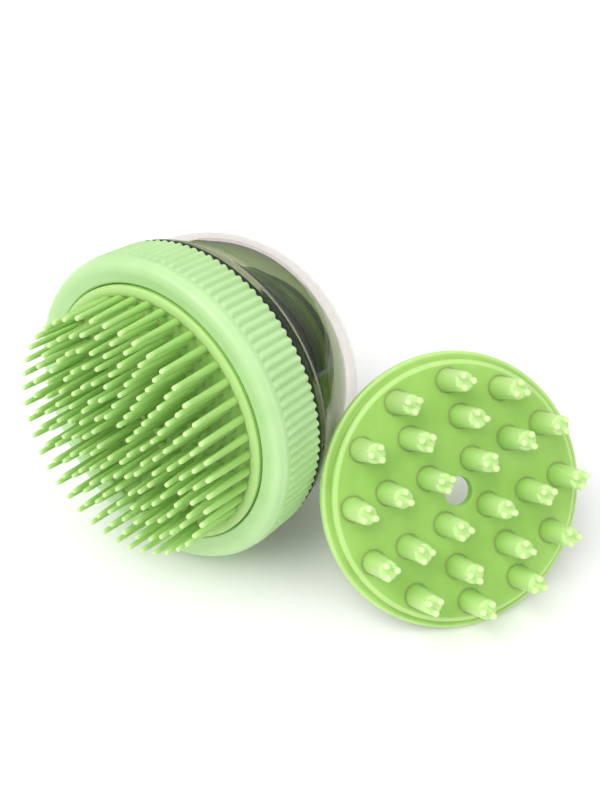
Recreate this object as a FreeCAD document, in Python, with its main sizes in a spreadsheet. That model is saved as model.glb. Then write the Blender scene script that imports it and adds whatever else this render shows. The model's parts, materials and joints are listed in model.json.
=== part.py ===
import FreeCAD, Part
import math
import os

import Sketcher

# Scalp massager brush with a clear liquid reservoir, a twist-off locking ring and two
# interchangeable silicone heads. Lengths are in millimetres, angles in degrees.
#
# Two local frames are used while the pieces are drawn:
#   brush  - origin at the centre of the rear rim it stands on, +Z out through the bristles
#   spare  - origin at the centre of the spare head's back face, +Z along its fingers
# The last section turns both into the part's frame: +Z up, floor at z = 0, with the brush
# lying on its locking ring and its reservoir, and the spare head leaning on the reservoir.

doc = FreeCAD.newDocument("scalp_massager_brush")

# ---------------------------------------------------------------------------------------
# Driving dimensions
# ---------------------------------------------------------------------------------------

SIZES = {
    # locking ring
    "ring_radius": 44.0,
    "ring_rear_radius": 43.6,
    "ring_rear": 38.6,
    "ring_bore": 39.5,
    "ring_shoulder": 51.9,
    "ring_crest": 54.9,
    "lip_underside": 51.8,
    "opening_radius": 36.6,
    "opening_edge": 53.6,
    "edge_round": 0.6,
    "rib_count": 106,
    "rib_groove_radius": 0.95,
    "rib_groove_depth": 0.8,
    "rib_length": 12.6,
    # thread between ring and neck
    "thread_pitch": 4.0,
    "thread_depth": 0.9,
    "thread_root": 1.7,
    "thread_tip": 0.9,
    "thread_height": 5.6,
    "neck_thread_start": 39.0,
    "ring_thread_start": 41.7,
    # reservoir
    "shell_back": 3.3,
    "shell_radius": 41.1,
    "shell_wall": 3.0,
    "back_radius": 23.8,
    "back_corner": 13.0,
    "dome_start": 28.6,
    "flange_radius": 42.9,
    "flange_rear": 35.4,
    "flange_front": 37.6,
    "neck_radius": 38.2,
    "neck_bore": 34.5,
    "neck_end": 46.7,
    "button_opening": 21.4,
    # gasket between ring and reservoir flange
    "gasket_rear": 37.65,
    "gasket_front": 38.5,
    "gasket_radius": 43.35,
    "gasket_bore": 38.6,
    # outlet plate
    "plate_radius": 38.4,
    "plate_rear": 46.8,
    "plate_front": 49.0,
    "skirt_radius": 34.2,
    "skirt_wall": 2.2,
    "skirt_rear": 41.6,
    "groove_rear": 43.4,
    "groove_front": 45.0,
    "groove_depth": 1.2,
    "spigot_radius": 3.6,
    "spigot_bore": 2.2,
    "spigot_front": 53.4,
    "boss_radius": 9.2,
    "boss_bore": 7.4,
    "boss_rear": 42.6,
    # plate seal, outlet valve and its retainer
    "seal_section": 0.7,
    "valve_radius": 7.2,
    "valve_rear": 45.1,
    "valve_front": 46.7,
    "valve_dome": 2.6,
    "valve_wall": 0.9,
    "valve_lip_radius": 4.2,
    "valve_slit": 0.3,
    "slit_length": 4.4,
    "retainer_rear": 42.8,
    "retainer_front": 45.0,
    "retainer_bore": 5.0,
    # bristle pad
    "pad_rear": 49.1,
    "pad_flange_front": 51.7,
    "pad_flange_radius": 38.4,
    "pad_radius": 36.45,
    "pad_face": 54.5,
    "pad_bead": 55.3,
    "pad_bead_width": 3.0,
    "pad_wall": 2.0,
    "pad_boss_radius": 6.2,
    "pad_hole": 3.9,
    "bristle_ring_first": 6.5,
    "bristle_ring_pitch": 4.43,
    "bristle_base": 1.1,
    "bristle_tip": 0.68,
    "bristle_front": 70.6,
    # push button, its bezel, clamp nut and seal
    "bezel_radius": 24.0,
    "bezel_front": 2.5,
    "bezel_sleeve": 21.2,
    "bezel_bore": 19.5,
    "bezel_ledge_rear": 3.6,
    "bezel_ledge_front": 5.2,
    "bezel_ledge_bore": 18.2,
    "sleeve_front": 10.4,
    "bezel_round": 0.9,
    "nut_radius": 24.2,
    "nut_rear": 6.4,
    "nut_front": 8.9,
    "nut_bore": 21.3,
    "button_radius": 17.9,
    "button_rear": 0.7,
    "button_crown": 1.3,
    "button_wall": 2.2,
    "button_flange": 19.1,
    "button_flange_rear": 5.3,
    "button_flange_front": 6.7,
    # spare massage head
    "spare_flange_radius": 37.2,
    "spare_flange_thick": 2.6,
    "spare_radius": 35.1,
    "spare_face": 5.2,
    "spare_bead": 5.4,
    "spare_bead_width": 3.2,
    "spare_wall": 2.2,
    "spare_hole": 4.0,
    "spare_boss_radius": 6.6,
    "spare_boss_rear": 2.2,
    "finger_ring_first": 9.4,
    "finger_ring_second": 20.0,
    "finger_ring_third": 29.7,
    "finger_base": 3.15,
    "finger_tip": 2.6,
    "finger_top": 16.2,
    "nub_radius": 0.9,
    "nub_circle": 1.8,
    "nub_top": 18.2,
    "finger_round": 0.8,
    # how the set lies on the floor: headings are turned from -Y towards -X
    "brush_across": -6.88,
    "brush_behind": 36.33,
    "brush_height": 35.59,
    "brush_heading": 37.96,
    "brush_lean": 10.81,
    "brush_roll": 27.5,
    "spare_across": 39.86,
    "spare_behind": -16.88,
    "spare_height": 28.915,
    "spare_heading": -21.39,
    "spare_lean": 38.49,
    "spare_roll": -14.55,
}

BRISTLE_COUNTS = (9, 15, 20, 25, 31, 36, 42)
FINGER_COUNTS = (4, 8, 12)
FINGER_STARTS = (67.5, 0.0, 7.5)
NUB_STARTS = (0.0, 30.0, 30.0)
NUBS_PER_FINGER = 3

sheet = doc.addObject("Spreadsheet::Sheet", "Sizes")
for row, (word, number) in enumerate(SIZES.items(), start=1):
    sheet.set("A%d" % row, word)
    sheet.set("B%d" % row, str(number))
    sheet.setAlias("B%d" % row, word)
doc.recompute()


class Dim:
    """A length together with the sheet expression that gives it."""

    def __init__(self, value, text):
        self.value = value
        self.text = text

    def joined(self, other, sign, value):
        text = other.text if isinstance(other, Dim) else repr(float(other))
        return Dim(value, "(%s %s %s)" % (self.text, sign, text))

    def __add__(self, other):
        return self.joined(other, "+", self.value + number_of(other))

    def __sub__(self, other):
        return self.joined(other, "-", self.value - number_of(other))

    def __mul__(self, other):
        return self.joined(other, "*", self.value * number_of(other))

    def __truediv__(self, other):
        return self.joined(other, "/", self.value / number_of(other))


def number_of(length):
    return length.value if isinstance(length, Dim) else float(length)


def size(word):
    return Dim(float(SIZES[word]), "Sizes.%s" % word)


def root_of(length):
    return Dim(math.sqrt(length.value), "sqrt(%s)" % length.text)


ZERO = Dim(0.0, "0")

# ---------------------------------------------------------------------------------------
# Drawing helpers
# ---------------------------------------------------------------------------------------


def new_body(name):
    body = doc.addObject("PartDesign::Body", name)
    body.Label = name
    return body


def origin_feature(body, role):
    return next(item for item in body.Origin.OriginFeatures if item.Role == role)


def new_sketch(body, name, turn=0.0):
    """A sketch on the body's XZ plane: sketch x is a radius and sketch y a height.

    The plane is turned about the body's Z axis by turn degrees."""
    sketch = body.newObject("Sketcher::SketchObject", name)
    sketch.AttachmentSupport = [(origin_feature(body, "XZ_Plane"), "")]
    sketch.MapMode = "FlatFace"
    if turn:
        rotation = FreeCAD.Rotation(FreeCAD.Vector(0, 1, 0), turn)
        sketch.AttachmentOffset = FreeCAD.Placement(FreeCAD.Vector(0, 0, 0), rotation)
    return sketch


def pin_point(sketch, edge, end, x, y):
    """Fix one end of an edge to a radius and a height from the sheet."""
    for kind, length, axis in (("DistanceX", x, -2), ("DistanceY", y, -1)):
        if length.value == 0.0:
            sketch.addConstraint(Sketcher.Constraint("PointOnObject", edge, end, axis))
            continue
        index = sketch.addConstraint(
            Sketcher.Constraint(kind, -1, 1, edge, end, length.value))
        sketch.setExpression("Constraints[%d]" % index, length.text)


def arc_middle(start, end, radius, side):
    """The middle point of the short arc from start to end, bulging away from its centre.

    side is 1 where the centre lies left of the chord, and -1 where it lies right."""
    chord = end - start
    half = chord.Length / 2.0
    left = FreeCAD.Vector(-chord.y, chord.x, 0).normalize()
    reach = math.sqrt(max(radius * radius - half * half, 0.0))
    centre = (start + end) * 0.5 + left * (side * reach)
    return centre + ((start + end) * 0.5 - centre).normalize() * radius


def draw_profile(sketch, corners):
    """Draw a closed profile. A corner is (x, y), or (x, y, radius, side) where the edge
    that arrives at it is an arc."""
    count = len(corners)
    points = [FreeCAD.Vector(c[0].value, c[1].value, 0) for c in corners]
    ends = []
    for number in range(count):
        start = points[number - 1]
        end = points[number]
        corner = corners[number]
        if len(corner) == 2:
            edge = sketch.addGeometry(Part.LineSegment(start, end))
        else:
            middle = arc_middle(start, end, corner[2].value, corner[3])
            edge = sketch.addGeometry(Part.Arc(start, middle, end))
            index = sketch.addConstraint(
                Sketcher.Constraint("Radius", edge, corner[2].value))
            sketch.setExpression("Constraints[%d]" % index, corner[2].text)
        forward = sketch.getPoint(edge, 1).isEqual(start, 1e-6)
        ends.append((edge, 1, 2) if forward else (edge, 2, 1))
    for number in range(count):
        edge, first, last = ends[number]
        following, following_first, _ = ends[(number + 1) % count]
        sketch.addConstraint(
            Sketcher.Constraint("Coincident", edge, last, following, following_first))
        pin_point(sketch, edge, last, corners[number][0], corners[number][1])


def axis_line(sketch, x, low, high):
    """A construction line at radius x, used as the axis of a small turned feature."""
    start = FreeCAD.Vector(x.value, low.value, 0)
    end = FreeCAD.Vector(x.value, high.value, 0)
    edge = sketch.addGeometry(Part.LineSegment(start, end), True)
    pin_point(sketch, edge, 1, x, low)
    pin_point(sketch, edge, 2, x, high)


def turned(body, name, corners, kind="Revolution", turn=0.0):
    """Revolve or groove a profile about the body's Z axis."""
    sketch = new_sketch(body, name + "_profile", turn)
    draw_profile(sketch, corners)
    feature = body.newObject("PartDesign::" + kind, name)
    feature.Profile = sketch
    feature.ReferenceAxis = (sketch, ["V_Axis"])
    feature.Angle = 360
    return feature


def turned_aside(body, name, corners, x, low, high, kind="Revolution", turn=0.0):
    """Revolve or groove a profile about its own upright axis at radius x."""
    sketch = new_sketch(body, name + "_profile", turn)
    axis_line(sketch, x, low, high)
    draw_profile(sketch, corners)
    feature = body.newObject("PartDesign::" + kind, name)
    feature.Profile = sketch
    feature.ReferenceAxis = (sketch, ["Axis0"])
    feature.Angle = 360
    return feature


def around(body, name, features, count):
    """Repeat features evenly about the body's Z axis."""
    pattern = body.newObject("PartDesign::PolarPattern", name)
    pattern.Originals = features
    pattern.Axis = (origin_feature(body, "Z_Axis"), [""])
    pattern.Angle = 360
    pattern.Occurrences = count
    body.Tip = pattern
    return pattern


def thread(body, name, corners, start_turn):
    """A right-handed helical ridge, or as many turns of it as its height holds."""
    sketch = new_sketch(body, name + "_profile", start_turn)
    draw_profile(sketch, corners)
    helix = body.newObject("PartDesign::AdditiveHelix", name)
    helix.Profile = sketch
    helix.ReferenceAxis = (sketch, ["V_Axis"])
    helix.Mode = 0
    helix.setExpression("Pitch", "Sizes.thread_pitch")
    helix.setExpression("Height", "Sizes.thread_height")
    return helix


def slit_through(body, name, half_x, half_y):
    """Cut a rectangle, centred on the body's axis, right through along Z."""
    sketch = body.newObject("Sketcher::SketchObject", name + "_profile")
    sketch.AttachmentSupport = [(origin_feature(body, "XY_Plane"), "")]
    sketch.MapMode = "FlatFace"
    below_x = ZERO - half_x
    below_y = ZERO - half_y
    draw_profile(sketch, [
        (below_x, below_y), (half_x, below_y), (half_x, half_y), (below_x, half_y)])
    pocket = body.newObject("PartDesign::Pocket", name)
    pocket.Profile = sketch
    pocket.Type = 1
    pocket.Midplane = True
    return pocket


def ridge_profile(wall, start, inwards):
    """A trapezoid that stands out of a wall at this radius, sunk a little into it."""
    sign = -1.0 if inwards else 1.0
    sunk = wall - sign * 0.3
    crest = wall + size("thread_depth") * sign
    slope = (size("thread_root") - size("thread_tip")) / 2.0
    return [
        (sunk, start),
        (crest, start + slope),
        (crest, start + slope + size("thread_tip")),
        (sunk, start + size("thread_root")),
    ]


# ---------------------------------------------------------------------------------------
# Clear reservoir
# ---------------------------------------------------------------------------------------


def make_reservoir_shell():
    """A thick-walled squat dome with an open neck in front and a button opening behind.

    Its side is two arcs that meet smoothly: a large one from the widest radius, and a
    small one into the flat back."""
    body = new_body("reservoir_shell")
    wall = size("shell_wall")

    def dome(inset):
        radius = size("shell_radius") - inset
        back = size("shell_back") + inset
        corner = size("back_corner") - inset
        across = radius - size("back_radius")
        rise = size("dome_start") - back
        side_arc = (across * across + rise * rise - rise * corner * 2.0) / (
            (across - corner) * 2.0)
        run = size("dome_start") - (back + corner)
        span = root_of((side_arc - across) * (side_arc - across) + run * run)
        side_centre = radius - side_arc
        meet_x = side_centre + (size("back_radius") - side_centre) * side_arc / span
        meet_y = size("dome_start") - run * side_arc / span
        return radius, back, corner, side_arc, meet_x, meet_y

    radius, back, corner, side_arc, meet_x, meet_y = dome(ZERO)
    radius_in, back_in, corner_in, side_in, meet_in_x, meet_in_y = dome(wall)
    turned(body, "reservoir_wall", [
        (size("button_opening"), back_in),
        (size("button_opening"), back),
        (size("back_radius"), back),
        (meet_x, meet_y, corner, 1),
        (radius, size("dome_start"), side_arc, 1),
        (radius, size("flange_rear") - 1.8),
        (size("flange_radius"), size("flange_rear"), Dim(1.8, "1.8"), -1),
        (size("flange_radius"), size("flange_front")),
        (size("neck_radius"), size("flange_front")),
        (size("neck_radius"), size("neck_end")),
        (size("neck_bore"), size("neck_end")),
        (size("neck_bore"), size("flange_front") - 1.0),
        (radius_in, size("flange_rear") - 4.4),
        (radius_in, size("dome_start")),
        (meet_in_x, meet_in_y, side_in, -1),
        (size("back_radius"), back_in, corner_in, -1),
    ])
    thread(body, "neck_thread",
           ridge_profile(size("neck_radius"), size("neck_thread_start"), False), 0.0)
    return body


def make_reservoir_gasket():
    """Dark washer between the locking ring's rear edge and the reservoir's flange."""
    body = new_body("reservoir_gasket")
    turned(body, "gasket_ring", [
        (size("gasket_bore"), size("gasket_rear")),
        (size("gasket_radius"), size("gasket_rear")),
        (size("gasket_radius"), size("gasket_front")),
        (size("gasket_bore"), size("gasket_front")),
    ])
    return body


# ---------------------------------------------------------------------------------------
# Locking ring
# ---------------------------------------------------------------------------------------


def make_locking_ring():
    """Screw ring with a convex front band, a front lip that holds the head's flange, and
    a ribbed side."""
    body = new_body("locking_ring")
    edge = size("edge_round")
    turned(body, "ring_wall", [
        (size("ring_bore"), size("ring_rear")),
        (size("ring_rear_radius"), size("ring_rear")),
        (size("ring_radius"), size("ring_shoulder")),
        (size("ring_radius") - 2.4, size("ring_crest") - 0.35, Dim(3.0, "3.0"), 1),
        (size("opening_radius") + edge, size("opening_edge") + edge, Dim(11.0, "11.0"), 1),
        (size("opening_radius"), size("opening_edge"), edge, 1),
        (size("opening_radius"), size("lip_underside")),
        (size("ring_bore"), size("lip_underside")),
    ])
    thread(body, "ring_thread",
           ridge_profile(size("ring_bore"), size("ring_thread_start"), True), 0.0)
    cutter = size("rib_groove_radius")
    middle = size("ring_radius") - size("rib_groove_depth") + cutter
    low = size("ring_rear") - 2.0
    high = size("ring_rear") + size("rib_length")
    groove = turned_aside(body, "rib_groove", [
        (middle, low),
        (middle + cutter, low),
        (middle + cutter, high - cutter),
        (middle, high, cutter, 1),
    ], middle, low, high, "Groove", 180.0 / SIZES["rib_count"] - 90.0 - SIZES["brush_roll"])
    around(body, "rib_grooves", [groove], SIZES["rib_count"])
    return body


# ---------------------------------------------------------------------------------------
# Outlet plate with its seal, valve and retainer
# ---------------------------------------------------------------------------------------


def make_outlet_plate():
    """Disc that closes the neck. Its skirt carries the seal, its boss holds the valve,
    and its spigot feeds liquid through the head's central hole."""
    body = new_body("outlet_plate")
    skirt_in = size("skirt_radius") - size("skirt_wall")
    groove = size("skirt_radius") - size("groove_depth")
    turned(body, "plate_wall", [
        (size("spigot_bore"), size("plate_rear")),
        (size("boss_bore"), size("plate_rear")),
        (size("boss_bore"), size("boss_rear")),
        (size("boss_radius"), size("boss_rear")),
        (size("boss_radius"), size("plate_rear")),
        (skirt_in, size("plate_rear")),
        (skirt_in, size("skirt_rear")),
        (size("skirt_radius"), size("skirt_rear")),
        (size("skirt_radius"), size("groove_rear")),
        (groove, size("groove_rear")),
        (groove, size("groove_front")),
        (size("skirt_radius"), size("groove_front")),
        (size("skirt_radius"), size("plate_rear")),
        (size("plate_radius"), size("plate_rear")),
        (size("plate_radius"), size("plate_front")),
        (size("spigot_radius"), size("plate_front")),
        (size("spigot_radius"), size("spigot_front")),
        (size("spigot_bore"), size("spigot_front")),
    ])
    return body


def make_plate_seal():
    """O-ring in the skirt's groove."""
    seal = doc.addObject("Part::Torus", "plate_seal")
    seal.Label = "plate_seal"
    seal.setExpression(
        "Radius1", "Sizes.skirt_radius - Sizes.groove_depth + Sizes.seal_section + 0.05")
    seal.setExpression("Radius2", "Sizes.seal_section")
    height = (SIZES["groove_rear"] + SIZES["groove_front"]) / 2.0
    seal.Placement = FreeCAD.Placement(FreeCAD.Vector(0, 0, height), FreeCAD.Rotation())
    return seal


def make_outlet_valve():
    """Silicone valve: a flanged dome with a cross slit that opens under pressure."""
    body = new_body("outlet_valve")
    lip = size("valve_lip_radius")
    wall = size("valve_wall")
    dome = size("valve_dome")
    radius_out = (lip * lip + dome * dome) / (dome * 2.0)
    inner_lip = lip - wall
    inner_dome = dome - wall
    radius_in = (inner_lip * inner_lip + inner_dome * inner_dome) / (inner_dome * 2.0)
    turned(body, "valve_wall", [
        (ZERO, size("valve_rear") - dome),
        (lip, size("valve_rear"), radius_out, 1),
        (size("valve_radius"), size("valve_rear")),
        (size("valve_radius"), size("valve_front")),
        (inner_lip, size("valve_front")),
        (inner_lip, size("valve_rear")),
        (ZERO, size("valve_rear") - dome + wall, radius_in, -1),
    ])
    half_width = size("valve_slit") / 2.0
    half_length = size("slit_length") / 2.0
    for number, (across, along) in enumerate(
            ((half_length, half_width), (half_width, half_length))):
        slit_through(body, "valve_slit_%d" % number, across, along)
    return body


def make_valve_retainer():
    """Snap ring that holds the valve in the plate's boss."""
    body = new_body("valve_retainer")
    turned(body, "retainer_ring", [
        (size("retainer_bore"), size("retainer_rear")),
        (size("boss_bore") - 0.05, size("retainer_rear")),
        (size("boss_bore") - 0.05, size("retainer_front")),
        (size("retainer_bore"), size("retainer_front")),
    ])
    return body


# ---------------------------------------------------------------------------------------
# Silicone heads
# ---------------------------------------------------------------------------------------


def head_profile(
        hole, boss, boss_rear, wall, radius, flange, rear, flange_front, face, bead, bead_width):
    """Half section of a flanged silicone head: hollow behind, with a raised rounded rim
    round its face and a boss round its central hole."""
    rim = bead_width / 2.0
    bulge = bead - face
    rim_arc = (rim * rim + bulge * bulge) / (bulge * 2.0)
    return [
        (hole, boss_rear),
        (boss, boss_rear),
        (boss, face - wall),
        (radius - wall, face - wall),
        (radius - wall, rear),
        (flange - 0.5, rear),
        (flange, rear + 0.5, Dim(0.5, "0.5"), 1),
        (flange, flange_front - 0.5),
        (flange - 0.5, flange_front, Dim(0.5, "0.5"), 1),
        (radius, flange_front),
        (radius, face),
        (radius - bead_width, face, rim_arc, 1),
        (hole, face),
    ]


def make_bristle_pad():
    """Fitted head: concentric rings of tapered, round-ended bristles. Every second ring
    starts half a step round, so that the bristles stand in each other's gaps."""
    body = new_body("bristle_pad")
    turned(body, "pad_wall", head_profile(
        size("pad_hole"), size("pad_boss_radius"), size("pad_rear"), size("pad_wall"),
        size("pad_radius"), size("pad_flange_radius"), size("pad_rear"),
        size("pad_flange_front"), size("pad_face"), size("pad_bead"),
        size("pad_bead_width")))
    base = size("bristle_base")
    tip = size("bristle_tip")
    low = size("pad_face") - 0.5
    high = size("bristle_front")
    for number, count in enumerate(BRISTLE_COUNTS):
        middle = size("bristle_ring_first") + size("bristle_ring_pitch") * number
        half_step = 180.0 / count if number % 2 else 0.0
        bristle = turned_aside(body, "bristle_%d" % number, [
            (middle, low),
            (middle + base, low),
            (middle + tip, high - tip),
            (middle, high, tip, 1),
        ], middle, low, high, "Revolution", half_step)
        around(body, "bristle_ring_%d" % number, [bristle], count)
    return body


def make_spare_massage_head():
    """Second head for the same ring: rings of thick fingers, each ending in three nubs."""
    body = new_body("spare_massage_head")
    turned(body, "spare_wall", head_profile(
        size("spare_hole"), size("spare_boss_radius"), size("spare_boss_rear"),
        size("spare_wall"), size("spare_radius"), size("spare_flange_radius"), ZERO,
        size("spare_flange_thick"), size("spare_face"), size("spare_bead"),
        size("spare_bead_width")))
    base = size("finger_base")
    tip = size("finger_tip")
    edge = size("finger_round")
    nub = size("nub_radius")
    reach = size("nub_circle")
    low = size("spare_face") - 0.5
    high = size("finger_top")
    rings = zip(
        FINGER_COUNTS, FINGER_STARTS, NUB_STARTS,
        (size("finger_ring_first"), size("finger_ring_second"), size("finger_ring_third")))
    for number, (count, start, nub_start, middle) in enumerate(rings):
        features = [turned_aside(body, "finger_%d" % number, [
            (middle, low),
            (middle + base, low),
            (middle + tip, high - edge),
            (middle + tip - edge, high, edge, 1),
            (middle, high),
        ], middle, low, high, "Revolution", start)]
        for step in range(NUBS_PER_FINGER):
            angle = math.radians(nub_start + 360.0 / NUBS_PER_FINGER * step)
            out = middle + reach * math.cos(angle)
            aside = reach * math.sin(angle)
            distance = root_of(out * out + aside * aside)
            turn = start + math.degrees(math.atan2(aside.value, out.value))
            features.append(turned_aside(body, "nub_%d_%d" % (number, step), [
                (distance, high - 1.0),
                (distance + nub, high - 1.0),
                (distance + nub, size("nub_top") - nub),
                (distance, size("nub_top"), nub, 1),
            ], distance, high - 1.0, size("nub_top"), "Revolution", turn))
        around(body, "finger_ring_%d" % number, features, count)
    return body


# ---------------------------------------------------------------------------------------
# Push button and the pieces that hold it
# ---------------------------------------------------------------------------------------


def make_button_bezel():
    """Flanged sleeve through the reservoir's back, with the rim the brush stands on. A
    ledge inside it stops the button's flange."""
    body = new_body("button_bezel")
    edge = size("bezel_round")
    turned(body, "bezel_wall", [
        (size("bezel_bore") + 0.6, ZERO),
        (size("bezel_radius") - edge, ZERO),
        (size("bezel_radius"), edge, edge, 1),
        (size("bezel_radius"), size("bezel_front")),
        (size("bezel_sleeve"), size("bezel_front")),
        (size("bezel_sleeve"), size("sleeve_front")),
        (size("bezel_bore"), size("sleeve_front")),
        (size("bezel_bore"), size("bezel_ledge_front")),
        (size("bezel_ledge_bore"), size("bezel_ledge_front")),
        (size("bezel_ledge_bore"), size("bezel_ledge_rear")),
    ])
    return body


def make_bezel_seal():
    """Flat silicone washer between the bezel and the reservoir's back."""
    body = new_body("bezel_seal")
    turned(body, "bezel_washer", [
        (size("bezel_sleeve") + 0.1, size("bezel_front") + 0.05),
        (size("bezel_radius") - 0.6, size("bezel_front") + 0.05),
        (size("bezel_radius") - 0.6, size("shell_back") - 0.05),
        (size("bezel_sleeve") + 0.1, size("shell_back") - 0.05),
    ])
    return body


def make_clamp_nut():
    """Ring inside the reservoir that pulls the bezel against the back."""
    body = new_body("clamp_nut")
    turned(body, "nut_ring", [
        (size("nut_bore"), size("nut_rear")),
        (size("nut_radius"), size("nut_rear")),
        (size("nut_radius"), size("nut_front")),
        (size("nut_bore"), size("nut_front")),
    ])
    return body


def make_push_button():
    """Silicone button: a crowned cap whose inner flange rests on the bezel's ledge."""
    body = new_body("push_button")
    radius = size("button_radius")
    crown = size("button_crown")
    rear = size("button_rear")
    wall = size("button_wall")
    crown_arc = (radius * radius + crown * crown) / (crown * 2.0)
    turned(body, "button_cap", [
        (ZERO, rear),
        (radius, rear + crown, crown_arc, 1),
        (radius, size("button_flange_rear")),
        (size("button_flange"), size("button_flange_rear")),
        (size("button_flange"), size("button_flange_front")),
        (radius - wall, size("button_flange_front")),
        (radius - wall, rear + crown + wall),
        (ZERO, rear + crown + wall),
    ])
    return body


# ---------------------------------------------------------------------------------------
# Stance and export
# ---------------------------------------------------------------------------------------


def stance(prefix):
    """Where a local frame goes. Its +Z leans up from the floor by the lean, and points
    the heading's way. The roll turns the piece about its own axis."""
    heading = math.radians(SIZES[prefix + "_heading"])
    lean = math.radians(SIZES[prefix + "_lean"])
    out = FreeCAD.Vector(
        -math.sin(heading) * math.cos(lean), -math.cos(heading) * math.cos(lean),
        math.sin(lean))
    level = FreeCAD.Vector(0, 0, 1).cross(out).normalize()
    upward = out.cross(level)
    roll = FreeCAD.Rotation(FreeCAD.Vector(0, 0, 1), SIZES[prefix + "_roll"])
    turn = FreeCAD.Rotation(level, upward, out, "ZXY").multiply(roll)
    origin = FreeCAD.Vector(
        SIZES[prefix + "_across"], SIZES[prefix + "_behind"], SIZES[prefix + "_height"])
    return FreeCAD.Placement(origin, turn)


brush_pieces = [
    make_reservoir_shell(),
    make_reservoir_gasket(),
    make_locking_ring(),
    make_outlet_plate(),
    make_plate_seal(),
    make_outlet_valve(),
    make_valve_retainer(),
    make_bristle_pad(),
    make_button_bezel(),
    make_bezel_seal(),
    make_clamp_nut(),
    make_push_button(),
]
spare_pieces = [make_spare_massage_head()]

doc.recompute()
for piece in brush_pieces:
    piece.Placement = stance("brush").multiply(piece.Placement)
for piece in spare_pieces:
    piece.Placement = stance("spare").multiply(piece.Placement)
doc.recompute()

os.makedirs("parts", exist_ok=True)
for item in doc.Objects:
    if "Invalid" in item.State or "Error" in item.State:
        raise RuntimeError("%s did not build" % item.Name)
for piece in brush_pieces + spare_pieces:
    shape = piece.Shape
    if shape.isNull() or not shape.isValid() or len(shape.Solids) != 1:
        raise RuntimeError("%s is not one sound solid" % piece.Label)
    shape.exportStep("parts/%s.step" % piece.Label)
    print(piece.Label, round(shape.Volume), "mm3")
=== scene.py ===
import json
import math
import random

import bmesh
import bpy
import numpy as np
from mathutils import Matrix, Vector


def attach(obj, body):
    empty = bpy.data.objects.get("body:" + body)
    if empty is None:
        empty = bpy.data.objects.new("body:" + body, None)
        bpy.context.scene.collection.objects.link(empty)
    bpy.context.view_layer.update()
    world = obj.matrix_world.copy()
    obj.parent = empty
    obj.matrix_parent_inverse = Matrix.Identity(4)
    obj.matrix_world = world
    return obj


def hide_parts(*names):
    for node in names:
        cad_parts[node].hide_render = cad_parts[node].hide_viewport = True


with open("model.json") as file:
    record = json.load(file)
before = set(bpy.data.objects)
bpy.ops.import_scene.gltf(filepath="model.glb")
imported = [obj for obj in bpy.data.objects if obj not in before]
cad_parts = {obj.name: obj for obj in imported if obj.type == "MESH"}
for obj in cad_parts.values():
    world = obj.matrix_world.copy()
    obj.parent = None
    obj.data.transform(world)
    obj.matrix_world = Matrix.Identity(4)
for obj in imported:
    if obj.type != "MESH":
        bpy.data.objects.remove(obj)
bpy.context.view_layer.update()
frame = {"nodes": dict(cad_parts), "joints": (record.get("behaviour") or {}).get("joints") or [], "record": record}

# Scalp massager brush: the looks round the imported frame. Profiles are drawn in millimetres
# in two local frames, each with +Z out along the bristles or fingers:
#   brush - origin at the centre of the rear rim
#   spare - origin at the centre of the spare head's back face

MM = 0.001
BRUSH_ROLL = math.radians(27.5)
SPARE_ROLL = math.radians(-14.55)
TWIST_POINT_HEIGHT = 45.0
SPARE_HOLE_MIDDLE = 3.7

# Camera: azimuth 0, looking down at the set, 50 mm lens.
CAMERA_PLACE = (-0.00071, -0.21748, 0.25219)
CAMERA_DOWN = math.radians(43.49)
CAMERA_LENS = 50.0

BRISTLE_COUNTS = (9, 15, 20, 25, 31, 36, 42)
BRISTLE_RING_FIRST = 6.5
BRISTLE_RING_PITCH = 4.43
BRISTLE_TURN = math.radians(-0.7)
# Each ring of fingers: how many, its radius, its first angle, and the turn of the nubs
FINGER_RINGS = ((4, 9.4, 67.5, 0.0), (8, 20.0, 0.0, 30.0), (12, 29.7, 7.5, 30.0))
RIB_COUNT = 106

THREAD_PITCH = 4.0
THREAD_TURNS = 1.4
THREAD_DEPTH = 0.9
THREAD_LAPS = 3
THREAD_RUNOUT = 0.03  # turns over which each end of the thread fades
ON_SURFACE = 0.02  # how near a point lies to the surface that carries the thread

# Sides of the turned pieces
SHELL_SIDES = 360
HEAD_SIDES = 256
SMALL_SIDES = 192
SIDES_PER_RIB = 14
BRISTLE_SIDES = 14
FINGER_SIDES = 40
NUB_SIDES = 24

# Socket numbers of a colour mix node
MIX_FACTOR, MIX_FROM, MIX_TO, MIX_RESULT = 0, 6, 7, 2


# ---------------------------------------------------------------------------------------
# Local frames
# ---------------------------------------------------------------------------------------


def joint(name):
    return next(item for item in frame["joints"] if item["name"] == name)


def mount(name):
    return next(item for item in frame["record"]["mounts"] if item["name"] == name)


def local_frame(origin, out, roll):
    """A matrix from millimetres in a local frame to metres in the row frame."""
    level = Vector((0, 0, 1)).cross(out).normalized()
    upward = out.cross(level)
    turn = Matrix((level, upward, out)).transposed() @ Matrix.Rotation(roll, 3, "Z")
    return Matrix.Translation(origin) @ turn.to_4x4() @ Matrix.Scale(MM, 4)


brush_out = Vector(joint("ring_twist")["axis"]).normalized()
brush_origin = Vector(joint("ring_twist")["pos_m"]) - brush_out * TWIST_POINT_HEIGHT * MM
spare_out = -Vector(mount("spare_hole")["axis"]).normalized()
spare_origin = Vector(mount("spare_hole")["pos_m"]) - spare_out * SPARE_HOLE_MIDDLE * MM
BRUSH = local_frame(brush_origin, brush_out, BRUSH_ROLL)
SPARE = local_frame(spare_origin, spare_out, SPARE_ROLL)


# ---------------------------------------------------------------------------------------
# Outlines
# ---------------------------------------------------------------------------------------


def arc(centre, radius, start, end, steps):
    """Points on an arc, angles in degrees."""
    angles = np.radians(np.linspace(start, end, steps + 1))
    return [(centre[0] + radius * math.cos(a), centre[1] + radius * math.sin(a)) for a in angles]


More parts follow.
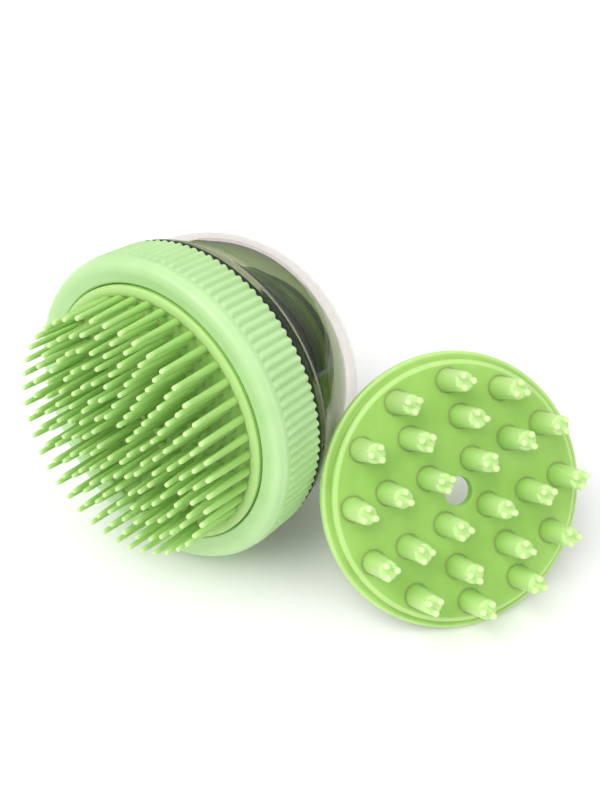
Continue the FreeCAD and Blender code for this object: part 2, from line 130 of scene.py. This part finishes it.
def rounded(corners, steps=6):
    """A closed outline from corners (radius, height, rounding)."""
    points = []
    count = len(corners)
    for number in range(count):
        here = np.array(corners[number][:2], float)
        before = np.array(corners[number - 1][:2], float)
        after = np.array(corners[(number + 1) % count][:2], float)
        size = corners[number][2] if len(corners[number]) > 2 else 0.0
        if size <= 0:
            points.append(tuple(here))
            continue
        to_before = (before - here) / np.linalg.norm(before - here)
        to_after = (after - here) / np.linalg.norm(after - here)
        half = math.acos(max(-1.0, min(1.0, float(to_before @ to_after)))) / 2
        reach = size / math.tan(half)
        middle = (to_before + to_after) / np.linalg.norm(to_before + to_after)
        centre = here + middle * size / math.sin(half)
        first = here + to_before * reach - centre
        last = here + to_after * reach - centre
        turn = math.atan2(first[0] * last[1] - first[1] * last[0], float(first @ last))
        for step in range(steps + 1):
            a = turn * step / steps
            c, s = math.cos(a), math.sin(a)
            points.append((centre[0] + first[0] * c - first[1] * s,
                           centre[1] + first[0] * s + first[1] * c))
    return points


def refined(points, longest, closed=True):
    """The same outline with no run longer than the given length."""
    out = []
    pairs = zip(points, points[1:] + points[:1]) if closed else zip(points, points[1:])
    for start, end in pairs:
        run = math.dist(start, end)
        parts = max(1, math.ceil(run / longest))
        out += [(start[0] + (end[0] - start[0]) * k / parts,
                 start[1] + (end[1] - start[1]) * k / parts) for k in range(parts)]
    return out if closed else out + [points[-1]]


# ---------------------------------------------------------------------------------------
# Meshes
# ---------------------------------------------------------------------------------------


def mesh_object(name, vertices, faces, attributes=None):
    """A smooth object from vertices and faces, with numbers for each vertex by name."""
    mesh = bpy.data.meshes.new(name)
    mesh.from_pydata([tuple(v) for v in vertices], [], faces)
    for word, values in (attributes or {}).items():
        layer = mesh.attributes.new(word, "FLOAT", "POINT")
        layer.data.foreach_set("value", np.asarray(values, np.float32))
    shape = bmesh.new()
    shape.from_mesh(mesh)
    bmesh.ops.remove_doubles(shape, verts=shape.verts, dist=1e-7)
    bmesh.ops.recalc_face_normals(shape, faces=shape.faces)
    shape.to_mesh(mesh)
    shape.free()
    mesh.shade_smooth()
    thing = bpy.data.objects.new(name, mesh)
    bpy.context.scene.collection.objects.link(thing)
    return thing


def lathe(outline, segments, shape=None):
    """Vertices and quads of a closed outline turned about Z. A shape function may move
    them, given their radii, heights and angles."""
    loop = np.array(outline, float)
    count = len(loop)
    angle = np.arange(segments) * (2 * math.pi / segments)
    radius = np.broadcast_to(loop[:, 0], (segments, count)).copy()
    height = np.broadcast_to(loop[:, 1], (segments, count)).copy()
    angles = np.broadcast_to(angle[:, None], (segments, count))
    if shape:
        radius, height = shape(radius, height, angles)
    points = np.stack(
        [radius * np.cos(angles), radius * np.sin(angles), height], -1).reshape(-1, 3)
    row = np.arange(count)
    ahead = np.roll(row, -1)
    faces = []
    for step in range(segments):
        here = step * count
        there = (step + 1) % segments * count
        faces += np.stack([here + row, here + ahead, there + ahead, there + row], -1).tolist()
    return points, faces


def placed(points, place):
    """Local millimetres to row metres."""
    full = np.c_[points, np.ones(len(points))]
    return (full @ np.array(place).T)[:, :3]


def turned(name, outline, place, segments, shape=None):
    points, faces = lathe(outline, segments, shape)
    return mesh_object(name, placed(points, place), faces)


def thread_ridge(height, angle, start, root=1.7, tip=0.9):
    """How far a helical ridge stands out, from 0 to 1, at a height and an angle."""
    slope = (root - tip) / 2
    out = np.zeros_like(height)
    for lap in range(THREAD_LAPS):
        turns = (angle / (2 * math.pi)) % 1.0 + lap
        along = height - start - THREAD_PITCH * turns
        ridge = np.clip(np.minimum(along, root - along) / slope, 0, 1)
        ends = np.clip(np.minimum(turns, THREAD_TURNS - turns) / THREAD_RUNOUT, 0, 1)
        out = np.maximum(out, ridge * ends)
    return out


# ---------------------------------------------------------------------------------------
# Materials
# ---------------------------------------------------------------------------------------


def linear(red, green, blue):
    """A colour given as 0-255 screen values."""
    def one(value):
        v = value / 255
        return v / 12.92 if v <= 0.04045 else ((v + 0.055) / 1.055) ** 2.4
    return (one(red), one(green), one(blue), 1.0)


def new_material(name, roughness, **sockets):
    """A plain shader. Socket names have _ for each space."""
    material = bpy.data.materials.new(name)
    material.use_nodes = True
    shader = material.node_tree.nodes["Principled BSDF"]
    shader.inputs["Roughness"].default_value = roughness
    for word, value in sockets.items():
        shader.inputs[word.replace("_", " ")].default_value = value
    return material


def add_node(material, kind, **values):
    """A node with each value set on its socket or, where it has none, on the node."""
    node = material.node_tree.nodes.new(kind)
    for word, value in values.items():
        if word in node.inputs:
            node.inputs[word].default_value = value
        else:
            setattr(node, word, value)
    return node


def join(material, source, output, target, socket):
    material.node_tree.links.new(source.outputs[output], target.inputs[socket])


def shader_of(material):
    return material.node_tree.nodes["Principled BSDF"]


def mottled(material, light, dark, scale, tip=None, tip_word="tip"):
    """Base colour that drifts between two tones, and pales to a third along an attribute."""
    place = add_node(material, "ShaderNodeTexCoord")
    noise = add_node(material, "ShaderNodeTexNoise", Scale=scale, Detail=4.0, Roughness=0.55)
    join(material, place, "Object", noise, "Vector")
    spread = add_node(material, "ShaderNodeMapRange")
    spread.inputs["From Min"].default_value = 0.35
    spread.inputs["From Max"].default_value = 0.65
    join(material, noise, "Fac", spread, "Value")
    mix = add_node(material, "ShaderNodeMix", data_type="RGBA")
    mix.inputs[MIX_FROM].default_value = dark
    mix.inputs[MIX_TO].default_value = light
    join(material, spread, "Result", mix, MIX_FACTOR)
    last = mix
    if tip:
        word = add_node(material, "ShaderNodeAttribute", attribute_name=tip_word)
        pale = add_node(material, "ShaderNodeMix", data_type="RGBA")
        pale.inputs[MIX_TO].default_value = tip
        join(material, word, "Fac", pale, MIX_FACTOR)
        join(material, mix, MIX_RESULT, pale, MIX_FROM)
        last = pale
    join(material, last, MIX_RESULT, shader_of(material), "Base Color")


def grained(material, scale, strength, distance):
    """Fine moulded grain as bump, with a matching drift in roughness."""
    place = add_node(material, "ShaderNodeTexCoord")
    noise = add_node(material, "ShaderNodeTexNoise", Scale=scale, Detail=3.0, Roughness=0.6)
    join(material, place, "Object", noise, "Vector")
    bump = add_node(material, "ShaderNodeBump", Strength=strength, Distance=distance)
    join(material, noise, "Fac", bump, "Height")
    join(material, bump, "Normal", shader_of(material), "Normal")
    base = shader_of(material).inputs["Roughness"].default_value
    drift = add_node(material, "ShaderNodeMapRange")
    drift.inputs["To Min"].default_value = base - 0.05
    drift.inputs["To Max"].default_value = base + 0.05
    join(material, noise, "Fac", drift, "Value")
    join(material, drift, "Result", shader_of(material), "Roughness")


def soft_silicone(name, light, dark, tip, depth):
    """Silicone that light enters to a depth in metres, and that pales towards tips and thin edges, and where a
    highlight or light is painted.
    """
    material = new_material(
        name, 0.42, Subsurface_Weight=0.55, Subsurface_Scale=depth, IOR=1.41,
        Specular_IOR_Level=0.45, Sheen_Weight=0.08, Sheen_Roughness=0.4)
    shader_of(material).inputs["Subsurface Radius"].default_value = (0.7, 1.0, 0.45)
    mottled(material, light, dark, scale=90.0, tip=tip)
    grained(material, scale=2600.0, strength=0.05, distance=0.0002)
    return material


def moulded(name, light, dark, roughness, subsurface=0.0):
    """Hard moulded plastic or rubber."""
    material = new_material(
        name, roughness, Subsurface_Weight=subsurface, Subsurface_Scale=0.0015,
        Specular_IOR_Level=0.5)
    shader_of(material).inputs["Subsurface Radius"].default_value = (0.6, 1.0, 0.4)
    mottled(material, light, dark, scale=70.0)
    grained(material, scale=3000.0, strength=0.04, distance=0.0002)
    return material


def clear_plastic(name, tint, hollow_shade_tint, roughness, absorbed, density):
    """Clear moulded plastic. Its inner wall carries a dark green tint that paints the shade seen through the
    hollow.
    """
    material = new_material(
        name, roughness, Transmission_Weight=1.0, IOR=1.53, Specular_IOR_Level=0.5)
    darker = tuple(0.985 * c for c in tint[:3]) + (1.0,)
    mottled(material, tint, darker, scale=40.0, tip=hollow_shade_tint, tip_word="inner")
    grained(material, scale=120.0, strength=0.015, distance=0.0002)
    inside = add_node(material, "ShaderNodeVolumeAbsorption", Color=absorbed, Density=density)
    output = material.node_tree.nodes["Material Output"]
    join(material, inside, "Volume", output, "Volume")
    return material


MINT = moulded(
    "mint_satin", linear(193, 230, 168), linear(185, 224, 159), roughness=0.34, subsurface=0.22)
# The tip colours pale thin tips and edges, and also paint the highlights on the rounded rims and light on the
# spare's fingers.
PAD_GREEN = soft_silicone(
    "pad_silicone", linear(166, 208, 116), linear(154, 198, 104), tip=linear(208, 238, 168),
    depth=0.0020)
SPARE_GREEN = soft_silicone(
    "spare_silicone", linear(170, 212, 112), linear(158, 202, 99), tip=linear(212, 240, 172),
    depth=0.0022)
INNER_GREEN = moulded(
    "inner_green", linear(136, 176, 74), linear(126, 166, 66), roughness=0.35)
# The button is green silicone, darkened to paint the shade of its hollow underside.
BUTTON_SHADED_GREEN = moulded(
    "button_green_painted_shade", linear(46, 74, 34), linear(40, 66, 30), roughness=0.5)
# The nut is green plastic, made far paler than the bezel to paint the light on its face inside the shell.
NUT_LIT_GREEN = moulded(
    "nut_green_painted_light", linear(198, 232, 112), linear(188, 224, 100), roughness=0.35)
DARK_RUBBER = moulded(
    "dark_rubber", linear(34, 36, 32), linear(24, 26, 24), roughness=0.6)
MILKY = soft_silicone(
    "milky_silicone", linear(226, 228, 218), linear(214, 218, 208), tip=linear(226, 228, 218),
    depth=0.0015)
# The dark green tint on the inner wall is painted shade of the hollow.
CLEAR = clear_plastic(
    "clear_reservoir", tint=(0.95, 0.945, 0.935, 1.0), hollow_shade_tint=(0.26, 0.38, 0.14, 1.0),
    roughness=0.015, absorbed=(0.575, 0.50, 0.40, 1.0), density=80.0)


def dress(thing, material, slot=None):
    """Give an object one material. The slot argument is not used."""
    thing.data.materials.clear()
    thing.data.materials.append(material)
    return thing


# ---------------------------------------------------------------------------------------
# Clear reservoir
# ---------------------------------------------------------------------------------------

SHELL_RADIUS = 41.1
SHELL_WALL = 3.0
SHELL_BACK = 3.3
BACK_RADIUS = 23.8
BACK_CORNER = 13.0
BACK_HOLE = 21.4
DOME_START = 28.6
DOME_INSET = 0.03  # keeps the smooth dome inside the box of the frame's coarser mesh
DOME_STEPS = 28
FLANGE_RADIUS = 42.9
FLANGE_FRONT = 37.6
NECK_RADIUS = 38.2
NECK_BORE = 34.5
NECK_FRONT = 46.7
NECK_THREAD_SPAN = (37.9, 46.3)
NECK_THREAD_START = 39.0


def dome_points(inset, steps):
    """The dome's outline from its flat back to its widest radius."""
    radius = SHELL_RADIUS - inset
    back = SHELL_BACK + inset
    corner = BACK_CORNER - inset
    across = radius - BACK_RADIUS
    rise = DOME_START - back
    side = (across ** 2 + rise ** 2 - 2 * rise * corner) / (2 * (across - corner))
    small = (BACK_RADIUS, back + corner)
    large = (radius - side, DOME_START)
    meet = math.degrees(math.atan2(small[1] - large[1], small[0] - large[0]))
    return (arc(small, corner, -90, meet, steps)
            + arc(large, side, meet, 0, steps)[1:])


def reservoir_outline():
    """The shell's half section, and for each of its points whether it is on the hollow."""
    outer = dome_points(DOME_INSET, DOME_STEPS)
    inner = dome_points(SHELL_WALL, DOME_STEPS)[::-1]
    flange = rounded([
        (SHELL_RADIUS, DOME_START), (SHELL_RADIUS, 33.6, 1.5), (FLANGE_RADIUS, 35.6, 0.6),
        (FLANGE_RADIUS, FLANGE_FRONT, 0.25), (NECK_RADIUS, FLANGE_FRONT, 0.2),
        (NECK_RADIUS, NECK_FRONT, 0.4), (NECK_BORE, NECK_FRONT, 0.4), (NECK_BORE, 36.6, 1.6),
        (SHELL_RADIUS - SHELL_WALL, 31.0, 1.6),
        (SHELL_RADIUS - SHELL_WALL, DOME_START)])[1:-1]
    back_inside = SHELL_BACK + SHELL_WALL
    mouth = rounded([
        (BACK_RADIUS, back_inside), (BACK_HOLE, back_inside, 0.3),
        (BACK_HOLE, SHELL_BACK, 0.3), (BACK_RADIUS, SHELL_BACK)])[1:-1]
    wall = refined(outer + flange, 0.5, closed=False)
    hollow = refined(inner, 0.5, closed=False)
    return wall + hollow + mouth, [0.0] * len(wall) + [1.0] * len(hollow) + [0.0] * len(mouth)


def neck_thread(radius, height, angle):
    """The thread round the neck."""
    low, high = NECK_THREAD_SPAN
    on_neck = (np.abs(radius - NECK_RADIUS) < ON_SURFACE) & (height > low) & (height < high)
    ridge = thread_ridge(height, angle, NECK_THREAD_START)
    return radius + np.where(on_neck, THREAD_DEPTH * ridge, 0.0), height


def make_shell():
    outline, inner = reservoir_outline()
    points, faces = lathe(outline, SHELL_SIDES, neck_thread)
    return mesh_object("reservoir_clear", placed(points, BRUSH), faces,
                       {"inner": np.tile(inner, SHELL_SIDES)})


shell = make_shell()
dress(shell, CLEAR, "clear_plastic")
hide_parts("reservoir_shell")
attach(shell, "reservoir")

# ---------------------------------------------------------------------------------------
# Locking ring
# ---------------------------------------------------------------------------------------

RING_BORE = 39.5
RING_REAR = 38.6
RING_LIP_BORE = 36.6
RING_LIP_REAR = 51.8
RING_THREAD_SPAN = (41.0, 50.6)
RING_THREAD_START = 41.7
RIB_DEPTH = 0.8
RIB_SHARPNESS = 1.4
RIB_FOOT_RADIUS = 42.0
RIB_FADE = 1.6
RIB_END = 51.2
RIB_RUNOUT = 1.1
SHOULDER_DROP = 0.45


def ring_outline():
    outer = rounded([
        (RING_BORE, RING_REAR, 0.25), (43.6, RING_REAR, 0.3), (44.0, 52.4, 1.6),
        (42.6, 54.7, 2.2), (40.5, 54.85, 6.0), (37.1, 54.15, 0.5), (RING_LIP_BORE, 53.4, 0.4),
        (RING_LIP_BORE, RING_LIP_REAR, 0.1), (RING_BORE, RING_LIP_REAR, 0.2)], 8)
    return refined(outer, 0.35)


def ring_shape(radius, height, angle):
    """Rounded ribs round the side, and the thread inside."""
    side = np.clip((radius - RIB_FOOT_RADIUS) / RIB_FADE, 0, 1)
    valley = 1.0 - np.abs(np.sin(angle * RIB_COUNT / 2)) ** RIB_SHARPNESS
    ahead = np.clip((height - RIB_END + RIB_RUNOUT) / RIB_RUNOUT, 0, 1)
    blend = ahead * ahead * (3 - 2 * ahead)
    depth = side * RIB_DEPTH * (valley * (1 - blend) + SHOULDER_DROP * blend)
    low, high = RING_THREAD_SPAN
    inside = (np.abs(radius - RING_BORE) < ON_SURFACE) & (height > low) & (height < high)
    ridge = thread_ridge(height, angle, RING_THREAD_START)
    return radius - depth - np.where(inside, THREAD_DEPTH * ridge, 0.0), height


ring = turned("locking_ring_body", ring_outline(), BRUSH, RIB_COUNT * SIDES_PER_RIB, ring_shape)
dress(ring, MINT, "mint_plastic")
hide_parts("locking_ring")
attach(ring, "ring")

# ---------------------------------------------------------------------------------------
# Bristle pad
# ---------------------------------------------------------------------------------------

PAD_RADIUS = 36.45
PAD_FACE = 54.5
PAD_BEAD_INSIDE = 33.4
BRISTLE_BASE = 1.1
BRISTLE_TIP = 0.68
BRISTLE_FLARE = 0.45
BRISTLE_FRONT = 70.6
BRISTLE_LEAN = 0.35
PALE_TIP_START = 0.86  # the share of a bristle's length after which it pales quickly
THIN_EDGE_AND_HIGHLIGHT = 0.45  # how far a thin edge pales, and how far a painted highlight pales a rounded rim


def raised_rim(radius, face, bead, width):
    """A low round bead along the edge of a face, from outside in."""
    return [(radius - width / 2 * (1 - math.cos(a)),
             face - 0.15 + (bead - face + 0.15) * math.sin(a) ** 0.8)
            for a in np.linspace(0, math.pi, 17)]


def soft_rim(radius, face, size):
    """A plain rounded edge round a face, from outside in."""
    return arc((radius - size, face - size), size, 0, 90, 10)


def head_outline(hole, boss, boss_rear, wall, radius, flange, rear, flange_front, face, rim):
    """Half section of a silicone head with rounded edges and the given rim."""
    back = rounded([
        (hole, face), (hole, boss_rear, 0.2), (boss, boss_rear, 0.3), (boss, face - wall, 0.35),
        (radius - wall, face - wall, 0.8), (radius - wall, rear, 0.3),
        (flange, rear, 0.6), (flange, flange_front, 0.6), (radius, flange_front, 0.35),
        (radius, face)])[1:-1]
    front = rounded([(rim[-1][0], face), (hole, face, 0.45), (hole, boss_rear)])[1:-1]
    return refined(back + rim + front, 0.8)


def column(outline, sides, points, faces, tips, place, tip_of):
    """Add a turned column (an open outline that starts outside and ends on its axis)."""
    start = len(points)
    count = len(outline)
    for side in range(sides):
        a = 2 * math.pi * side / sides
        for radius, height in outline:
            points.append(place(radius * math.cos(a), radius * math.sin(a), height))
            tips.append(tip_of(height))
    for side in range(sides):
        here = start + side * count
        there = start + (side + 1) % sides * count
        for k in range(count - 1):
            faces.append((here + k, there + k, there + k + 1, here + k + 1))


def bristle_outline(low, high, base, tip, flare):
    """A tapered bristle with a flared root and a rounded end."""
    root = [(base + flare * (1 - math.sin(a)), low + flare * (1 - math.cos(a)))
            for a in np.linspace(0, math.pi / 2, 5)]
    body = [(base + (tip - base) * t, low + flare + (high - tip - low - flare) * t)
            for t in np.linspace(0, 1, 9)[1:]]
    end = [(tip * math.cos(a), high - tip + tip * math.sin(a))
           for a in np.linspace(0, math.pi / 2, 6)[1:]]
    end[-1] = (0.0, high)
    return root + body + end


def make_pad():
    outline = head_outline(
        hole=3.9, boss=6.2, boss_rear=49.1, wall=2.0, radius=PAD_RADIUS, flange=38.4,
        rear=49.1, flange_front=51.7, face=PAD_FACE,
        rim=raised_rim(PAD_RADIUS, PAD_FACE, bead=55.3, width=3.0))
    points, faces = lathe(outline, HEAD_SIDES)
    reach = np.hypot(points[:, 0], points[:, 1])
    # The pad's rounded bead pales: a painted highlight.
    rim = (points[:, 2] > PAD_FACE + 0.1) & (reach > PAD_BEAD_INSIDE)
    tips = np.where(rim, THIN_EDGE_AND_HIGHLIGHT, 0.0).tolist()
    points = points.tolist()
    chance = random.Random(7)
    for number, count in enumerate(BRISTLE_COUNTS):
        ring_radius = BRISTLE_RING_FIRST + BRISTLE_RING_PITCH * number
        half_step = math.pi / count if number % 2 else 0.0
        for step in range(count):
            a = BRISTLE_TURN + half_step + 2 * math.pi * step / count
            cx, cy = ring_radius * math.cos(a), ring_radius * math.sin(a)
            lean = chance.uniform(0, BRISTLE_LEAN)
            way = chance.uniform(0, 2 * math.pi)
            if number == len(BRISTLE_COUNTS) - 1:
                way = a + math.pi + chance.uniform(-1.2, 1.2)
            high = BRISTLE_FRONT - chance.uniform(0.0, 0.25)
            outline = bristle_outline(
                PAD_FACE - 0.05, high, BRISTLE_BASE, BRISTLE_TIP, BRISTLE_FLARE)
            span = high - PAD_FACE

            def place(x, y, z):
                bend = lean * (max(z - PAD_FACE, 0) / span) ** 2
                return (cx + x + bend * math.cos(way), cy + y + bend * math.sin(way), z)

            def tip_of(z):
                t = (z - PAD_FACE) / span
                end = max(0.0, (t - PALE_TIP_START) / 0.14)
                return min(1.0, max(0.0, 0.25 * t + 0.75 * end))

            column(outline, BRISTLE_SIDES, points, faces, tips, place, tip_of)
    return mesh_object("bristle_pad_silicone", placed(np.array(points), BRUSH), faces,
                       {"tip": tips})


pad = make_pad()
dress(pad, PAD_GREEN, "green_silicone")
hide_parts("bristle_pad")
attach(pad, "head")

# ---------------------------------------------------------------------------------------
# Spare massage head
# ---------------------------------------------------------------------------------------

SPARE_RADIUS = 35.1
SPARE_FACE = 5.2
FINGER_BASE = 3.05
FINGER_TIP = 2.6
FINGER_FLARE = 0.5
FINGER_EDGE = 0.8
FINGER_TOP = 16.2
FINGER_SUNK = 0.08
NUB_TOP = 18.2
NUB_CIRCLE = 1.8
NUB_RADIUS = 0.9
MELT_VOXEL = 0.15


def finger_mesh():
    """One finger with its three nubs, melted together, in its own frame: the nubs lie at
    0, 120 and 240 degrees round its axis."""
    points, faces, tips = [], [], []
    root = [(FINGER_BASE + FINGER_FLARE * (1 - math.sin(a)),
             SPARE_FACE - FINGER_SUNK + FINGER_FLARE * (1 - math.cos(a)))
            for a in np.linspace(0, math.pi / 2, 8)]
    low = SPARE_FACE + FINGER_FLARE
    high = FINGER_TOP - FINGER_EDGE
    side = [(FINGER_BASE + (FINGER_TIP - FINGER_BASE) * t, low + (high - low) * t)
            for t in np.linspace(0, 1, 10)[1:]]
    top = [(FINGER_TIP - FINGER_EDGE + FINGER_EDGE * math.cos(a),
            high + FINGER_EDGE * math.sin(a))
           for a in np.linspace(0, math.pi / 2, 7)[1:]]
    foot = [(0.0, SPARE_FACE - 1.0), (FINGER_BASE + FINGER_FLARE, SPARE_FACE - 1.0)]
    body = foot + root + side + top + [(0.0, FINGER_TOP)]
    column(body, FINGER_SIDES, points, faces, tips, lambda x, y, z: (x, y, z), lambda z: 0.0)
    nub = [(0.0, FINGER_TOP - 2.0), (NUB_RADIUS * 1.15, FINGER_TOP - 2.0),
           (NUB_RADIUS * 1.1, FINGER_TOP - 0.6), (NUB_RADIUS, FINGER_TOP + 0.2),
           (NUB_RADIUS, NUB_TOP - NUB_RADIUS)]
    nub += [(NUB_RADIUS * math.cos(a), NUB_TOP - NUB_RADIUS + NUB_RADIUS * math.sin(a))
            for a in np.linspace(0, math.pi / 2, 8)[1:]]
    nub[-1] = (0.0, NUB_TOP)
    for step in range(3):
        a = 2 * math.pi * step / 3
        dx, dy = NUB_CIRCLE * math.cos(a), NUB_CIRCLE * math.sin(a)
        column(nub, NUB_SIDES, points, faces, tips,
               lambda x, y, z: (x + dx, y + dy, z), lambda z: 0.0)
    thing = mesh_object("finger_form", np.array(points), faces)
    melt = thing.modifiers.new("melt", "REMESH")
    melt.mode = "VOXEL"
    melt.voxel_size = MELT_VOXEL
    melt.use_smooth_shade = True
    ease = thing.modifiers.new("ease", "SMOOTH")
    ease.factor = 0.6
    ease.iterations = 2
    graph = bpy.context.evaluated_depsgraph_get()
    made = thing.evaluated_get(graph).to_mesh()
    vertices = np.array([v.co for v in made.vertices])
    polygons = [tuple(p.vertices) for p in made.polygons if
                max(vertices[i][2] for i in p.vertices) > SPARE_FACE - 0.3]
    thing.evaluated_get(graph).to_mesh_clear()
    bpy.data.objects.remove(thing)
    return vertices, polygons


def make_spare():
    outline = head_outline(
        hole=4.0, boss=6.6, boss_rear=2.2, wall=2.2, radius=SPARE_RADIUS, flange=37.2,
        rear=0.0, flange_front=2.6, face=SPARE_FACE, rim=soft_rim(SPARE_RADIUS, SPARE_FACE, 1.4))
    points, faces = lathe(outline, HEAD_SIDES)
    reach = np.hypot(points[:, 0], points[:, 1])
    # The flange's thin outer edge pales as thin silicone does; the rounded lip pales as a painted highlight.
    lip_highlight = (points[:, 2] > 4.3) & (reach > 33.9) & (reach < 34.95)
    pale_edge_and_highlight = (reach > 36.5) | lip_highlight
    tips = np.where(pale_edge_and_highlight, THIN_EDGE_AND_HIGHLIGHT, 0.0).tolist()
    all_points = [points]
    total = len(points)
    finger, polygons = finger_mesh()
    # The fingers pale with height: partly the thinner silicone of the tips, partly painted light, with painted
    # shade at their bases.
    height = np.clip((finger[:, 2] - SPARE_FACE) / (NUB_TOP - SPARE_FACE), 0, 1)
    finger_paling_and_light = np.clip(0.8 * height ** 0.7 + 0.3 * np.clip((height - 0.84) / 0.14, 0, 1), 0, 1)
    for count, ring_radius, start, nub_start in FINGER_RINGS:
        for step in range(count):
            a = math.radians(start) + 2 * math.pi * step / count
            b = a + math.radians(nub_start)
            x = finger[:, 0] * math.cos(b) - finger[:, 1] * math.sin(b)
            y = finger[:, 0] * math.sin(b) + finger[:, 1] * math.cos(b)
            moved = np.c_[x + ring_radius * math.cos(a), y + ring_radius * math.sin(a),
                          finger[:, 2]]
            all_points.append(moved)
            faces += [tuple(i + total for i in p) for p in polygons]
            tips += finger_paling_and_light.tolist()
            total += len(moved)
    return mesh_object(
        "spare_head_silicone", placed(np.vstack(all_points), SPARE), faces, {"tip": tips})


spare = make_spare()
dress(spare, SPARE_GREEN, "spare_silicone")
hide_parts("spare_massage_head")
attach(spare, "spare_head")

# ---------------------------------------------------------------------------------------
# Smaller pieces
# ---------------------------------------------------------------------------------------

# Name, node, body, material, slot and half section of each
SMALL_PIECES = (
    ("button_bezel_body", "button_bezel", "reservoir", INNER_GREEN, "green_plastic", [
        (20.1, 0.0, 0.5), (23.97, 0.0, 0.9), (23.97, 2.5, 0.2), (21.2, 2.5, 0.1),
        (21.2, 10.4, 0.3), (19.5, 10.4, 0.3), (19.5, 5.2, 0.1), (18.2, 5.2, 0.2),
        (18.2, 3.6, 0.2)]),
    ("clamp_nut_body", "clamp_nut", "reservoir", NUT_LIT_GREEN, "green_plastic", [
        (21.3, 6.4, 0.2), (24.2, 6.4, 0.2), (24.2, 8.9, 0.5), (21.3, 8.9, 0.3)]),
    # The gasket's dark rubber also paints the shade of the gap under the ring's rear edge.
    ("reservoir_gasket_and_gap_shade", "reservoir_gasket", "reservoir", DARK_RUBBER, "dark_rubber", [
        (38.6, 37.65, 0.15), (43.35, 37.65, 0.2), (43.35, 38.5, 0.2), (38.6, 38.5, 0.15)]),
    ("bezel_seal_body", "bezel_seal", "reservoir", MILKY, "clear_silicone", [
        (21.3, 2.55, 0.1), (23.4, 2.55, 0.2), (23.4, 3.25, 0.2), (21.3, 3.25, 0.1)]),
    ("valve_retainer_body", "valve_retainer", "head", INNER_GREEN, "green_plastic", [
        (5.0, 42.8, 0.2), (7.35, 42.8, 0.2), (7.35, 45.0, 0.2), (5.0, 45.0, 0.2)]),
    ("outlet_plate_body", "outlet_plate", "head", INNER_GREEN, "green_plastic", [
        (2.2, 46.8, 0.1), (7.4, 46.8, 0.1), (7.4, 42.6, 0.2), (9.2, 42.6, 0.3),
        (9.2, 46.8, 0.4), (32.0, 46.8, 0.6), (32.0, 41.6, 0.3), (34.2, 41.6, 0.3),
        (34.2, 43.4, 0.1), (33.0, 43.4, 0.1), (33.0, 45.0, 0.1), (34.2, 45.0, 0.1),
        (34.2, 46.8, 0.2), (38.4, 46.8, 0.3), (38.4, 49.0, 0.3), (3.6, 49.0, 0.3),
        (3.6, 53.4, 0.3), (2.2, 53.4, 0.3)]),
    ("push_button_body", "push_button", "button", BUTTON_SHADED_GREEN, "dark_green_silicone", [
        (0.0, 0.7), (6.0, 0.85, 0.0), (12.0, 1.28, 0.0), (17.9, 2.1, 0.8), (17.9, 5.3, 0.2),
        (19.1, 5.3, 0.3), (19.1, 6.7, 0.3), (15.7, 6.7, 0.4), (15.7, 4.2, 0.8),
        (0.0, 4.2)]),
)

for name, node, body, material, slot, corners in SMALL_PIECES:
    piece = turned(name, refined(rounded(corners, 5), 1.5), BRUSH, SMALL_SIDES)
    dress(piece, material, slot)
    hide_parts(node)
    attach(piece, body)

# The seal and the valve keep their shapes from the frame.
for node, material in (("plate_seal", DARK_RUBBER), ("outlet_valve", MILKY)):
    dress(frame["nodes"][node], material)

# ---------------------------------------------------------------------------------------
# Floor, light and camera
# ---------------------------------------------------------------------------------------


def make_floor():
    floor = mesh_object("floor", [(-3, -3, 0), (3, -3, 0), (3, 3, 0), (-3, 3, 0)],
                        [(0, 1, 2, 3)])
    material = new_material("floor_white", 0.6, Specular_IOR_Level=0.2)
    mottled(material, (0.96, 0.96, 0.96, 1.0), (0.955, 0.955, 0.955, 1.0), scale=3.0)
    dress(floor, material)


def broad_light(name, source, spread, strength, colour):
    """A very soft light from one side that falls evenly on the whole floor. The spread
    is in degrees."""
    light = bpy.data.lights.new(name, "SUN")
    light.angle = math.radians(spread)
    light.energy = strength
    light.color = colour
    thing = bpy.data.objects.new(name, light)
    thing.rotation_mode = "QUATERNION"
    thing.rotation_quaternion = (-Vector(source)).to_track_quat("-Z", "Y")
    bpy.context.scene.collection.objects.link(thing)


def make_world(overhead, horizon):
    """Soft light from above that falls off towards the horizon, as in a studio."""
    world = bpy.data.worlds.new("studio")
    world.use_nodes = True
    tree = world.node_tree
    way = tree.nodes.new("ShaderNodeTexCoord")
    split = tree.nodes.new("ShaderNodeSeparateXYZ")
    spread = tree.nodes.new("ShaderNodeMapRange")
    spread.interpolation_type = "SMOOTHSTEP"
    spread.inputs["From Min"].default_value = 0.0
    spread.inputs["From Max"].default_value = 0.7
    spread.inputs["To Min"].default_value = horizon
    spread.inputs["To Max"].default_value = overhead
    tree.links.new(way.outputs["Generated"], split.inputs["Vector"])
    tree.links.new(split.outputs["Z"], spread.inputs["Value"])
    tree.nodes["Background"].inputs["Color"].default_value = (1.0, 1.0, 1.0, 1.0)
    tree.links.new(spread.outputs["Result"], tree.nodes["Background"].inputs["Strength"])
    bpy.context.scene.world = world


def make_camera():
    data = bpy.data.cameras.new("camera")
    data.lens = CAMERA_LENS
    data.clip_start = 0.01
    camera = bpy.data.objects.new("camera", data)
    camera.location = CAMERA_PLACE
    camera.rotation_euler = (math.pi / 2 - CAMERA_DOWN, 0.0, 0.0)
    bpy.context.scene.collection.objects.link(camera)
    bpy.context.scene.camera = camera


make_floor()
make_world(overhead=0.78, horizon=0.22)
broad_light("key", source=(-0.5, -0.35, 1.0), spread=45.0, strength=1.75,
            colour=(1.0, 0.99, 0.98))
broad_light("fill", source=(0.6, -0.8, 0.7), spread=70.0, strength=0.45,
            colour=(0.98, 0.99, 1.0))
make_camera()
bpy.context.scene.view_settings.view_transform = "Standard"
